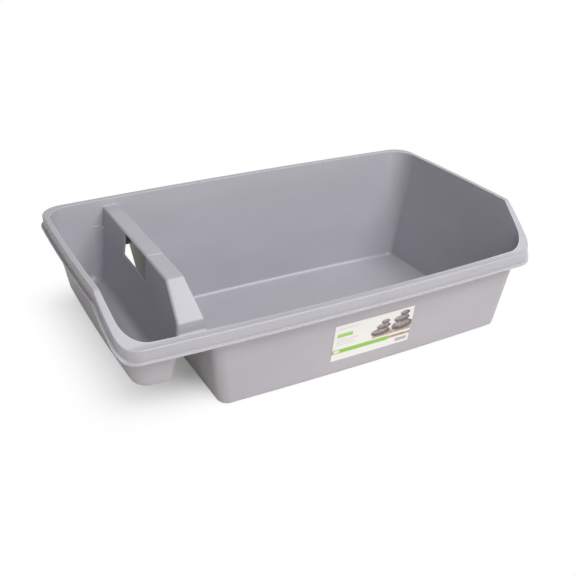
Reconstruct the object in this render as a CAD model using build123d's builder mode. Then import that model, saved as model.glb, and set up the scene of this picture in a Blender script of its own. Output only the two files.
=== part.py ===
from build123d import *
from math import asin, cos, hypot, radians, sin, sqrt, tan
import os

# Rim outline, seen from above; the origin is on the floor under the middle of the rim.
length = 640
width = 350
side_bow = 8
end_bow = 4
front_lean_in = 8
front_corner = 31
back_corner = 33

# Rim heights: high along the back, low along the front, sloping down at both ends.
back_height = 187
front_height = 135
slope_foot = 4
slope_head = 75
slope_round = 14

# Rim section.
lip = 8.4
lip_thickness = 2.6
lip_overlap = 0.15
skirt_depth = 18.5
skirt_wall = 2.4
bead_reach = 3.2
bead_depth = 2.2
lip_round = 1.6

# Moulded walls; the outline is that of the inner faces carried down to the floor plane.
wall = 2.4
draft = 9.6
front_setback = 10.5
back_setback = 10.5
end_setback = 7.6
floor_corner_front = 7.5
floor_corner_back = 7.5
floor_round = 6.5

# Storage tub: shorter than the main tub, so that its floor hangs clear of the ground.
storage_floor = 65
storage_round = 13

# Divider: a hollow arch between the tubs that is also the carrying handle.
crest_height = 177
storage_reach = 91.7
crest_width = 23.8
crest_left_draft = 10
crest_right_draft = 8
grip_end = 153
bend_from_front = 81
bend_height = 175.4
brow_from_front = 31
brow_height = 138
saddle_from_front = 27.5
saddle_height = 122.5
bend_round = 5
divider_corner = 14
crest_round_storage = 4
crest_round_main = 2.4
back_web_height = 113
front_web_height = 118.5

# Hand hole in the divider's storage side.
hole_front_top = 154
hole_front_bottom = 145.5
hole_back_top = 238.5
hole_back_bottom = 236
hole_bottom = 144
hole_round = 3

# Ledges beside the divider: the corners are rounded below these heights and sharp above them.
back_ledge_height = 150
front_ledge_height = 121

# Adhesive label on the front wall.
label_left = -20.5
label_width = 130.5
label_bottom = 27.4
label_height = 62
label_thickness = 0.3
label_glue = 0.15
label_round = 1.5

crest_left = storage_reach - length / 2
crest_right = crest_left + crest_width
reach = length
front = -width / 2
back = width / 2
cut_top = back_height + 20


def arc_radius(chord, rise):
    """The radius of the arc that rises this far over a chord."""
    return rise / 2 + chord**2 / (8 * rise)


def inside_touch(first, second, radius, way):
    """The circle of a radius that touches two larger circles from inside; way picks its side."""
    to_first = first[2] - radius
    to_second = second[2] - radius
    along_x = second[0] - first[0]
    along_y = second[1] - first[1]
    apart = hypot(along_x, along_y)
    along = (to_first**2 - to_second**2 + apart**2) / (2 * apart)
    across = way * sqrt(to_first**2 - along**2)
    x = first[0] + (along * along_x - across * along_y) / apart
    y = first[1] + (along * along_y + across * along_x) / apart
    return (x, y, radius)


def heading(circle, target):
    """The unit direction from a circle's centre to another centre or a point."""
    return (Vector(target[0], target[1]) - Vector(circle[0], circle[1])).normalized()


def joint(one, other, growth):
    """The point where one circle touches another from inside, both grown."""
    large, small = (one, other) if one[2] > other[2] else (other, one)
    return Vector(large[0], large[1]) + heading(large, small) * (large[2] + growth)


def arc_chain(circles, start, end, growth):
    """Points of arcs that run through touching circles: start, middle, joint, middle, ... end."""
    stops = [start, *[joint(a, b, growth) for a, b in zip(circles, circles[1:])], end]
    points = [start]
    for circle, here, there in zip(circles, stops, stops[1:]):
        middle = (heading(circle, tuple(here)) + heading(circle, tuple(there))).normalized()
        points += [Vector(circle[0], circle[1]) + middle * (circle[2] + growth), there]
    return points


def wall_circles():
    """Front, front corner, end, back corner and back circles of the inner walls at the floor plane."""
    spread = tan(radians(draft))
    x_end = length / 2 + end_bow - end_setback - spread * back_height
    y_front = front - side_bow + front_setback + spread * front_height
    y_back = back + side_bow - back_setback - spread * back_height
    side_radius = arc_radius(length, side_bow)
    end_radius = arc_radius(width, end_bow)
    front_circle = (0, y_front + side_radius, side_radius)
    back_circle = (0, y_back - side_radius, side_radius)
    end_circle = (x_end - end_radius, (y_front + y_back) / 2, end_radius)
    return [
        front_circle,
        inside_touch(front_circle, end_circle, floor_corner_front, 1),
        end_circle,
        inside_touch(end_circle, back_circle, floor_corner_back, 1),
        back_circle,
    ]


def ring_outline(circles, growth):
    """A closed outline of touching arcs, the same at both ends, from the front circle to the back one."""
    nose = Vector(0, circles[0][1] - circles[0][2] - growth)
    tail = Vector(0, circles[-1][1] + circles[-1][2] + growth)
    turns = [joint(circles[0], circles[1], growth), joint(circles[-2], circles[-1], growth)]
    right = arc_chain(circles[1:-1], *turns, growth)
    left = [Vector(-point.X, point.Y) for point in reversed(right)]
    points = [*right, tail, *left, nose, right[0]]
    with BuildSketch() as section:
        with BuildLine():
            for start, middle, end in zip(points[::2], points[1::2], points[2::2]):
                ThreePointArc(start, middle, end)
        make_face()
    return section.sketch


def basin(floor, skin):
    """The full-length drafted basin from a floor height up past the rim."""
    with BuildPart() as body:
        with BuildSketch(Plane.XY.offset(floor)):
            add(ring_outline(wall_circles(), skin + tan(radians(draft)) * floor))
        extrude(amount=cut_top - floor, taper=-draft)
    return body.part


def tub(floor, divider_wall, floor_radius, skin):
    """One basin end closed by a divider wall, with its upright corners and floor edge rounded."""
    with BuildPart() as body:
        add(basin(floor + wall - skin, skin))
        split(bisect_by=divider_wall, keep=Keep.TOP)
        faces = body.faces().filter_by(lambda face: abs(face.normal_at().dot(divider_wall.z_dir)) > 0.999)
        uprights = faces.edges().sort_by(Axis.Y)
        fillet([uprights[0], uprights[-1]], divider_corner + skin)
        fillet(body.faces().sort_by(Axis.Z)[0].edges(), floor_radius + skin)
    return body.part


def main_side(skin):
    """The divider wall's plane on the main tub's side, moved away from the main tub."""
    return Plane(
        origin=(crest_right - skin, 0, crest_height),
        x_dir=(0, 1, 0),
        z_dir=(1, 0, tan(radians(crest_right_draft))),
    )


def storage_side(skin):
    """The divider wall's plane on the storage tub's side, moved away from the storage tub."""
    return Plane(
        origin=(crest_left + skin, 0, crest_height),
        x_dir=(0, 1, 0),
        z_dir=(-1, 0, tan(radians(crest_left_draft))),
    )


def rim_outline(outward):
    """The rim's edge seen from above, leaning in where the ends slope down to the front."""
    side_radius = arc_radius(length, side_bow)
    end_radius = arc_radius(width, end_bow)
    front_circle = (0, front - side_bow + side_radius, side_radius)
    back_circle = (0, back + side_bow - side_radius, side_radius)
    end_circle = (length / 2 + end_bow - end_radius, 0, end_radius)
    lean_radius = slope_head**2 / (2 * front_lean_in)
    turn = asin((front + slope_head) / end_radius)
    reach_in = end_radius - lean_radius
    lean_circle = (end_circle[0] + reach_in * cos(turn), reach_in * sin(turn), lean_radius)
    circles = [
        front_circle,
        inside_touch(front_circle, lean_circle, front_corner, 1),
        lean_circle,
        end_circle,
        inside_touch(end_circle, back_circle, back_corner, 1),
        back_circle,
    ]
    return ring_outline(circles, outward)


def side_band(top_drop, bottom_drop):
    """The strip of side profile between two depths under the rim's top."""
    foot = front + slope_foot
    head = front + slope_head
    with BuildSketch() as strip:
        with BuildLine():
            Polyline(
                (-reach, front_height - top_drop),
                (foot, front_height - top_drop),
                (head, back_height - top_drop),
                (reach, back_height - top_drop),
                (reach, back_height - bottom_drop),
                (head, back_height - bottom_drop),
                (foot, front_height - bottom_drop),
                (-reach, front_height - bottom_drop),
                close=True,
            )
        make_face()
        fillet(strip.vertices().filter_by(lambda corner: abs(corner.X) < width), slope_round)
    return strip.sketch


def rim_part(outward, inward, top_drop, bottom_drop, top_round, bottom_round):
    """A ring of the rim's outline that follows the side profile between two depths."""
    with BuildPart() as ring:
        with BuildSketch(Plane.XY):
            add(rim_outline(outward))
        extrude(amount=cut_top)
        with BuildSketch(Plane.YZ):
            add(side_band(top_drop, bottom_drop))
        extrude(amount=reach, both=True, mode=Mode.INTERSECT)
        sides = ring.faces().filter_by(lambda face: abs(face.normal_at().Z) < 0.01)
        if top_round:
            tops = ring.faces().filter_by(lambda face: face.normal_at().Z > 0.5)
            fillet(tops.edges() & sides.edges(), top_round)
        if bottom_round:
            sides = ring.faces().filter_by(lambda face: abs(face.normal_at().Z) < 0.01)
            bottoms = ring.faces().filter_by(lambda face: face.normal_at().Z < -0.5)
            fillet(bottoms.edges() & sides.edges(), bottom_round)
        if inward:
            with BuildSketch(Plane.XY):
                add(rim_outline(-inward))
            extrude(amount=cut_top, mode=Mode.SUBTRACT)
    return ring.part


def above_crest(skin):
    """The side profile of the free space over the divider, grown downward by the skin."""
    with BuildSketch() as space:
        with BuildLine():
            Polyline(
                (reach, crest_height),
                (front + grip_end, crest_height),
                (front + grip_end - 0.8, crest_height - 0.6),
                (front + bend_from_front, bend_height),
                (front + brow_from_front, brow_height),
                (front + saddle_from_front, saddle_height),
                (-reach, saddle_height),
                (-reach, reach),
                (reach, reach),
                close=True,
            )
        make_face()
        bends = space.vertices().filter_by(lambda corner: front < corner.X < front + grip_end - 10)
        fillet(bends, bend_round)
        if skin:
            offset(amount=skin)
    return space.sketch


def above_step(front_bottom, back_bottom, overhang):
    """The band across the divider, over one height in the front half and another in the back half."""
    with BuildPart() as body:
        with BuildSketch(Plane.YZ.offset(crest_left - overhang)):
            with BuildLine():
                Polyline(
                    (-reach, front_bottom),
                    (0, front_bottom),
                    (0, back_bottom),
                    (reach, back_bottom),
                    (reach, cut_top),
                    (-reach, cut_top),
                    close=True,
                )
            make_face()
        extrude(amount=crest_right - crest_left + 2 * overhang)
    return body.part


def ledge_block(divider_wall, skin):
    """The sharp-cornered upper part of a tub's corners beside the divider."""
    with BuildPart() as body:
        add(basin(0, skin))
        split(bisect_by=divider_wall, keep=Keep.TOP)
        add(
            above_step(front_ledge_height - skin, back_ledge_height - skin, 2 * divider_corner),
            mode=Mode.INTERSECT,
        )
    return body.part


# The two tubs' outsides.
with BuildPart() as tubs:
    add(tub(0, main_side(wall), floor_round, wall))
    add(tub(storage_floor, storage_side(wall), storage_round, wall))

# The open tunnel under the crest, between the two tubs.
with BuildPart() as tunnel:
    add(basin(0, 0))
    with BuildSketch(Plane.YZ):
        add(above_crest(wall))
    extrude(amount=reach, both=True, mode=Mode.SUBTRACT)
    add(tubs.part, mode=Mode.SUBTRACT)
    add(ledge_block(main_side(wall), wall), mode=Mode.SUBTRACT)
    add(ledge_block(storage_side(wall), wall), mode=Mode.SUBTRACT)

# The walls over the passage between the tubs, hollowed under the crest.
with BuildPart() as upper_walls:
    add(basin(0, wall))
    add(above_step(front_web_height, back_web_height, reach), mode=Mode.INTERSECT)
    add(tunnel.part, mode=Mode.SUBTRACT)

# The two tubs below that.
with BuildPart() as lower_walls:
    add(tubs.part)
    add(above_step(front_web_height, back_web_height, reach), mode=Mode.SUBTRACT)

# The divider's rounded-over form, as a solid bar between its two leaning walls.
with BuildPart() as crest:
    with BuildSketch(Plane.YZ.offset(crest_left - 2 * divider_corner)):
        Rectangle(4 * width, 2 * crest_height)
        add(above_crest(0), mode=Mode.SUBTRACT)
    extrude(amount=crest_right - crest_left + 4 * divider_corner)
    split(bisect_by=main_side(0), keep=Keep.BOTTOM)
    split(bisect_by=storage_side(0), keep=Keep.BOTTOM)
    for side, edge_round in ((1, crest_round_main), (-1, crest_round_storage)):
        walls = crest.faces().filter_by(lambda face: side * face.normal_at().X > 0.9)
        tops = crest.faces().filter_by(lambda face: face.normal_at().Z > 0.1 and abs(face.normal_at().X) < 0.1)
        fillet(walls.edges() & tops.edges(), edge_round)

# The hollow over the ledges, from end to end, with the divider standing in it.
with BuildPart() as upper_hollow:
    add(basin(0, 0))
    add(above_step(front_ledge_height, back_ledge_height, reach), mode=Mode.INTERSECT)
    add(crest.part, mode=Mode.SUBTRACT)

# The hollows of the two tubs below the ledges.
with BuildPart() as lower_hollows:
    add(tub(0, main_side(0), floor_round, 0))
    add(tub(storage_floor, storage_side(0), storage_round, 0))
    add(above_step(front_ledge_height, back_ledge_height, reach), mode=Mode.SUBTRACT)

# The one-piece moulding: tubs and divider under a lipped, skirted and beaded rim.
with BuildPart() as pan:
    add(upper_walls.part)
    add(lower_walls.part)
    with BuildSketch(Plane.YZ):
        add(side_band(lip_thickness / 2, reach))
    extrude(amount=reach, both=True, mode=Mode.INTERSECT)
    add(rim_part(0, 0, 0, lip_thickness, lip_round, 0))
    add(rim_part(0, skirt_wall, lip_thickness - lip_overlap, skirt_depth, 0, 0))
    add(rim_part(bead_reach, skirt_wall, skirt_depth - bead_depth, skirt_depth, 0, 0))
    add(lower_hollows.part, mode=Mode.SUBTRACT)
    add(upper_hollow.part, mode=Mode.SUBTRACT)
    with BuildSketch(Plane.YZ.offset(crest_left - divider_corner)):
        with BuildLine():
            Polyline(
                (front + hole_front_bottom, hole_bottom),
                (front + hole_back_bottom, hole_bottom),
                (front + hole_back_top, crest_height - wall),
                (front + hole_front_top, crest_height - wall),
                close=True,
            )
        make_face()
        fillet(vertices(), hole_round)
    extrude(amount=divider_corner + (crest_right - crest_left) / 2, mode=Mode.SUBTRACT)

pan.part.label = "pan"

# The label lies on the outside of the front wall.
with BuildPart() as label:
    add(basin(0, wall + label_glue + label_thickness))
    add(basin(0, wall + label_glue), mode=Mode.SUBTRACT)
    with BuildSketch(Plane.XZ):
        with Locations((label_left + label_width / 2, label_bottom + label_height / 2)):
            RectangleRounded(label_width, label_height, label_round)
    extrude(amount=reach, mode=Mode.INTERSECT)

label.part.label = "label"

os.makedirs("parts", exist_ok=True)
export_step(pan.part, "parts/pan.step")
export_step(label.part, "parts/label.step")
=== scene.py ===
from math import cos, radians, sin

import bpy
from mathutils import Matrix, Vector

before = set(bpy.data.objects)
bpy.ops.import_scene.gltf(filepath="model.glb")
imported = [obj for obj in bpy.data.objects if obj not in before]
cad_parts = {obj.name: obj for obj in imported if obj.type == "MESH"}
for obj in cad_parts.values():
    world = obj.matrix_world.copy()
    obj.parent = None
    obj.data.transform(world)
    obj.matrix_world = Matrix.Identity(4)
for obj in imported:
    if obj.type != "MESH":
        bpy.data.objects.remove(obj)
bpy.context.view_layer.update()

MM = 0.001


def colour(hex_value):
    """Linear RGBA from an sRGB hex value."""
    channels = [int(hex_value[i : i + 2], 16) / 255 for i in (1, 3, 5)]
    linear = [c / 12.92 if c <= 0.04045 else ((c + 0.055) / 1.055) ** 2.4 for c in channels]
    return (*linear, 1.0)


def node(tree, kind, settings=None, inputs=None):
    """A node with its settings; an input is a value, or the output socket that feeds it."""
    made = tree.nodes.new(kind)
    for name, value in (settings or {}).items():
        setattr(made, name, value)
    for name, value in (inputs or {}).items():
        if isinstance(value, bpy.types.NodeSocket):
            tree.links.new(value, made.inputs[name])
        else:
            made.inputs[name].default_value = value
    return made


def new_material(name):
    material = bpy.data.materials.new(name)
    material.use_nodes = True
    material.node_tree.nodes.clear()
    return material


def product(tree, one, other):
    return node(tree, "ShaderNodeMath", {"operation": "MULTIPLY"}, {0: one, 1: other}).outputs["Value"]


def band(tree, value, low, high, soft):
    """One between two values and zero outside them, with soft edges."""
    up = node(
        tree,
        "ShaderNodeMapRange",
        {"interpolation_type": "SMOOTHSTEP"},
        {"Value": value, "From Min": low - soft, "From Max": low + soft},
    )
    down = node(
        tree,
        "ShaderNodeMapRange",
        {"interpolation_type": "SMOOTHSTEP"},
        {"Value": value, "From Min": high + soft, "From Max": high - soft},
    )
    return product(tree, up.outputs["Result"], down.outputs["Result"])


def layer(tree, below, above, mask):
    """One colour printed over another where the mask is one."""
    mix = node(tree, "ShaderNodeMix", {"data_type": "RGBA"}, {0: mask, 6: below, 7: above})
    return mix.outputs[2]


def moulded_polypropylene():
    """Pale grey polypropylene from a finely eroded mould: satin, with a painted highlight that makes it
    paler along its edges.
    """
    material = new_material("moulded_polypropylene")
    tree = material.node_tree
    place = node(tree, "ShaderNodeTexCoord").outputs["Object"]
    # Eroded mould grain, pits about 0.5 mm apart: it spreads the gloss without hiding it.
    grain = node(
        tree,
        "ShaderNodeTexNoise",
        None,
        {"Vector": place, "Scale": 1 / (0.5 * MM), "Detail": 2.0, "Roughness": 0.6},
    )
    # Cooling sink of a long thin wall, about 70 mm from crest to crest: it bends the reflections.
    sink = node(
        tree,
        "ShaderNodeTexNoise",
        None,
        {"Vector": place, "Scale": 1 / (70 * MM), "Detail": 1.0, "Roughness": 0.4},
    )
    # Moulded edges are never sharp: the light rolls over 0.7 mm of them.
    rolled = node(tree, "ShaderNodeBevel", {"samples": 4}, {"Radius": 0.7 * MM})
    wavy = node(
        tree,
        "ShaderNodeBump",
        None,
        {
            "Height": sink.outputs["Fac"],
            "Strength": 1.0,
            "Distance": 0.35 * MM,
            "Normal": rolled.outputs["Normal"],
        },
    )
    bump = node(
        tree,
        "ShaderNodeBump",
        None,
        {
            "Height": grain.outputs["Fac"],
            "Strength": 0.35,
            "Distance": 0.03 * MM,
            "Normal": wavy.outputs["Normal"],
        },
    )
    # Painted highlight: edges, hollow ones too, are painted paler where they would catch the light; the mask
    # is how far a wider roll turns the surface.
    wide = node(tree, "ShaderNodeBevel", {"samples": 4}, {"Radius": 1.3 * MM})
    flat = node(tree, "ShaderNodeNewGeometry").outputs["Normal"]
    turn = node(
        tree,
        "ShaderNodeVectorMath",
        {"operation": "DOT_PRODUCT"},
        {0: wide.outputs["Normal"], 1: flat},
    )
    edge = node(
        tree,
        "ShaderNodeMapRange",
        None,
        {"Value": turn.outputs["Value"], "From Min": 0.99, "From Max": 0.88, "To Max": 0.85},
    )
    # Pigment and flow: very faint clouds, drawn out along the pan's length; they vary the gloss too.
    stretch = node(tree, "ShaderNodeMapping", None, {"Vector": place, "Scale": (0.35, 1.0, 1.0)})
    flow = node(
        tree,
        "ShaderNodeTexNoise",
        None,
        {"Vector": stretch.outputs["Vector"], "Scale": 1 / (45 * MM), "Detail": 3.0, "Roughness": 0.55},
    )
    clouds = node(
        tree,
        "ShaderNodeMapRange",
        None,
        {"Value": flow.outputs["Fac"], "From Min": 0.3, "From Max": 0.7},
    )
    body = layer(tree, colour("#a4a3aa"), colour("#a8a7ae"), clouds.outputs["Result"])
    # Painted highlight: the body colour is mixed towards pale #e0dee0 along the edges.
    paint = layer(tree, body, colour("#e0dee0"), edge.outputs["Result"])
    gloss = node(
        tree,
        "ShaderNodeMapRange",
        None,
        {
            "Value": flow.outputs["Fac"],
            "From Min": 0.3,
            "From Max": 0.7,
            "To Min": 0.30,
            "To Max": 0.35,
        },
    )
    shader = node(
        tree,
        "ShaderNodeBsdfPrincipled",
        None,
        {
            "Base Color": paint,
            "Roughness": gloss.outputs["Result"],
            "IOR": 1.49,
            "Normal": bump.outputs["Normal"],
        },
    )
    node(tree, "ShaderNodeOutputMaterial", None, {"Surface": shader.outputs["BSDF"]})
    return material


def label_film():
    """White printed film: a green band, a pale panel of pebbles on a shelf, and grey bars."""
    material = new_material("printed_label_film")
    tree = material.node_tree
    place = node(tree, "ShaderNodeTexCoord").outputs["Object"]
    parts = node(tree, "ShaderNodeSeparateXYZ", None, {"Vector": place})
    across = parts.outputs["X"]
    up = parts.outputs["Z"]

    def block(left, right, bottom, top, soft=0.35):
        return product(
            tree,
            band(tree, across, left * MM, right * MM, soft * MM),
            band(tree, up, bottom * MM, top * MM, soft * MM),
        )

    def disc(x, z, wide, high, soft=0.06):
        """A filled oval with a soft edge."""
        centred = node(
            tree, "ShaderNodeVectorMath", {"operation": "SUBTRACT"}, {0: place, 1: (x * MM, 0, z * MM)}
        )
        scaled = node(
            tree,
            "ShaderNodeVectorMath",
            {"operation": "MULTIPLY"},
            {0: centred.outputs["Vector"], 1: (2 / (wide * MM), 0, 2 / (high * MM))},
        )
        size = node(tree, "ShaderNodeVectorMath", {"operation": "LENGTH"}, {0: scaled.outputs["Vector"]})
        inside = node(
            tree,
            "ShaderNodeMapRange",
            {"interpolation_type": "SMOOTHSTEP"},
            {"Value": size.outputs["Value"], "From Min": 1 + soft, "From Max": 1 - soft},
        )
        return inside.outputs["Result"]

    ink = colour("#dddcdb")
    # Panel: smooth pebbles piled on a wooden shelf, before a white wall.
    grit = node(tree, "ShaderNodeTexNoise", None, {"Vector": place, "Scale": 1 / (3.5 * MM), "Detail": 3.0})
    mottle = node(
        tree, "ShaderNodeMapRange", None, {"Value": grit.outputs["Fac"], "From Min": 0.35, "From Max": 0.65}
    )
    wood = layer(tree, colour("#957d6e"), colour("#b9a898"), mottle.outputs["Result"])
    stone = layer(tree, colour("#4c4244"), colour("#6e6466"), mottle.outputs["Result"])
    lit = layer(tree, colour("#80777a"), colour("#aaa2a1"), mottle.outputs["Result"])
    ink = layer(tree, ink, wood, block(44, 110, 49.5, 58, 1.5))
    for x, z, wide, high in (
        (57, 58.5, 32, 13),
        (61, 67.5, 23, 10),
        (63, 75, 14, 7.5),
        (93, 61, 36, 17),
        (91, 72.5, 26, 12),
        (95, 81.5, 16, 8.5),
    ):
        ink = layer(tree, ink, stone, disc(x, z, wide, high))
        ink = layer(tree, ink, lit, disc(x - wide / 12, z + high / 7, wide * 0.75, high * 0.5, 0.5))
    # Green band running on as a wooden edge, and a green block.
    ink = layer(tree, ink, colour("#86b945"), block(-21, 72.5, 39.6, 46.8))
    ink = layer(tree, ink, wood, block(72.5, 111, 41, 45.8))
    ink = layer(tree, ink, colour("#96c35f"), block(-15.5, 9.5, 68, 74.2))
    # Grey bars stand where small print would be.
    for left, right, level in ((-15, 16, 82), (-15, 20, 62.5), (-15, 12, 58.5), (-15, 17, 54.5)):
        ink = layer(tree, ink, colour("#c2c0bf"), block(left, right, level, level + 1.2))
    ink = layer(tree, ink, colour("#a9a7a7"), block(86, 106, 31.5, 37.5))
    ink = layer(tree, ink, colour("#dcdbda"), disc(-13, 43.2, 10, 4.5))
    shader = node(tree, "ShaderNodeBsdfPrincipled", None, {"Base Color": ink, "Roughness": 0.32, "IOR": 1.5})
    node(tree, "ShaderNodeOutputMaterial", None, {"Surface": shader.outputs["BSDF"]})
    return material


def dress(name, material):
    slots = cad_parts[name].data.materials
    slots.clear()
    slots.append(material)


dress("pan", moulded_polypropylene())
dress("label", label_film())


def floor_sheet():
    """The pale sheet that the pan stands on, which fades into the white backdrop."""
    mesh = bpy.data.meshes.new("floor_sheet")
    half = 4.0
    low = -0.2 * MM  # just under the pan, so that no two faces share a level
    corners = [(-half, -half, low), (half, -half, low), (half, half, low), (-half, half, low)]
    mesh.from_pydata(corners, [], [(0, 1, 2, 3)])
    sheet = bpy.data.objects.new("floor_sheet", mesh)
    bpy.context.scene.collection.objects.link(sheet)
    material = new_material("white_paper_sheet")
    tree = material.node_tree
    place = node(tree, "ShaderNodeTexCoord").outputs["Object"]
    seen = node(tree, "ShaderNodeLightPath").outputs["Is Camera Ray"]
    away = node(tree, "ShaderNodeVectorMath", {"operation": "LENGTH"}, {0: place})
    fade = node(
        tree,
        "ShaderNodeMapRange",
        {"interpolation_type": "SMOOTHSTEP"},
        {"Value": away.outputs["Value"], "From Min": 0.75, "From Max": 1.5},
    )
    paper = node(
        tree,
        "ShaderNodeBsdfPrincipled",
        None,
        {
            "Base Color": layer(tree, colour("#fbf5f0"), colour("#fafafa"), seen),
            "Roughness": 0.9,
            "Specular IOR Level": 0.1,
        },
    )
    # Seen straight, the sheet keeps its shadow under and beside the pan and is white further off.
    white = node(tree, "ShaderNodeEmission", None, {"Color": (1, 1, 1, 1), "Strength": 1.0})
    clear = node(tree, "ShaderNodeBsdfTransparent")
    parts = node(tree, "ShaderNodeSeparateXYZ", None, {"Vector": place})
    along = band(tree, parts.outputs["X"], -275 * MM, 330 * MM, 90 * MM)
    deep = band(tree, parts.outputs["Y"], -107 * MM, 260 * MM, 58 * MM)
    shadow_kept = 0.85
    shaded = product(tree, product(tree, along, deep), shadow_kept)
    open_floor = node(tree, "ShaderNodeMath", {"operation": "SUBTRACT"}, {0: 1.0, 1: shaded})
    lift = product(tree, seen, open_floor.outputs["Value"])
    lifted = node(
        tree, "ShaderNodeMixShader", None, {0: lift, 1: paper.outputs["BSDF"], 2: white.outputs["Emission"]}
    )
    gone = product(tree, fade.outputs["Result"], seen)
    mix = node(
        tree, "ShaderNodeMixShader", None, {0: gone, 1: lifted.outputs["Shader"], 2: clear.outputs["BSDF"]}
    )
    node(tree, "ShaderNodeOutputMaterial", None, {"Surface": mix.outputs["Shader"]})
    material.cycles.emission_sampling = "NONE"  # the sheet is no lamp
    mesh.materials.append(material)


floor_sheet()


LAMP_DISTANCE = 2.6
LAMP_AIM = Vector((0, 0, 100 * MM))


def softbox(name, azimuth, elevation, watts, size):
    """A round white softbox; azimuth in degrees runs from the pan's front round to its right."""
    data = bpy.data.lights.new(name, "AREA")
    data.shape = "DISK"
    data.size = size
    data.energy = watts
    lamp = bpy.data.objects.new(name, data)
    bpy.context.scene.collection.objects.link(lamp)
    turn, rise = radians(azimuth), radians(elevation)
    towards = Vector((sin(turn) * cos(rise), -cos(turn) * cos(rise), sin(rise)))
    lamp.location = LAMP_AIM + LAMP_DISTANCE * towards
    lamp.rotation_euler = towards.to_track_quat("Z", "Y").to_euler()


softbox("key_softbox", 57, 60, 18, 0.9)
softbox("front_top_softbox", 0, 48, 30, 1.2)
softbox("right_top_softbox", 40, 48, 17, 1.2)
softbox("front_softbox", 0, 18, 11, 1.2)
softbox("overhead_softbox", 20, 72, 4, 1.2)
softbox("left_softbox", 300, 18, 5, 1.2)


def studio_world():
    world = bpy.data.worlds.new("studio")
    world.use_nodes = True
    tree = world.node_tree
    tree.nodes.clear()
    path = node(tree, "ShaderNodeLightPath").outputs
    soft = node(tree, "ShaderNodeBackground", None, {"Color": (1, 1, 1, 1), "Strength": 0.16})
    white = node(tree, "ShaderNodeBackground", None, {"Color": (1, 1, 1, 1), "Strength": 1.0})
    # The camera and the gloss see a white studio, which lights the plastic itself only a little.
    pale = node(
        tree,
        "ShaderNodeMath",
        {"operation": "MAXIMUM"},
        {0: path["Is Camera Ray"], 1: path["Is Glossy Ray"]},
    )
    mix = node(
        tree,
        "ShaderNodeMixShader",
        None,
        {0: pale.outputs["Value"], 1: soft.outputs["Background"], 2: white.outputs["Background"]},
    )
    node(tree, "ShaderNodeOutputWorld", None, {"Surface": mix.outputs["Shader"]})
    bpy.context.scene.world = world


studio_world()


def camera():
    """The camera where the photographer stood: above the front-left corner, looking down at the pan."""
    yaw, pitch, roll = 0.505, 0.489, 0.018
    focal_pixels, picture_width, sensor_width = 819.595, 576, 36
    place = Vector((-0.53283, -0.95979, 0.64798))
    ahead = Vector((sin(yaw) * cos(pitch), cos(yaw) * cos(pitch), -sin(pitch)))
    side = Vector((cos(yaw), -sin(yaw), 0))
    up = side.cross(ahead)
    right = side * cos(roll) + up * sin(roll)
    top = up * cos(roll) - side * sin(roll)
    data = bpy.data.cameras.new("camera")
    data.sensor_width = sensor_width
    data.lens = focal_pixels / picture_width * sensor_width
    data.clip_start = 0.01
    seen = bpy.data.objects.new("camera", data)
    bpy.context.scene.collection.objects.link(seen)
    seen.matrix_world = Matrix(
        (
            (right.x, top.x, -ahead.x, place.x),
            (right.y, top.y, -ahead.y, place.y),
            (right.z, top.z, -ahead.z, place.z),
            (0, 0, 0, 1),
        )
    )
    bpy.context.scene.camera = seen


camera()
bpy.context.scene.view_settings.view_transform = "Standard"
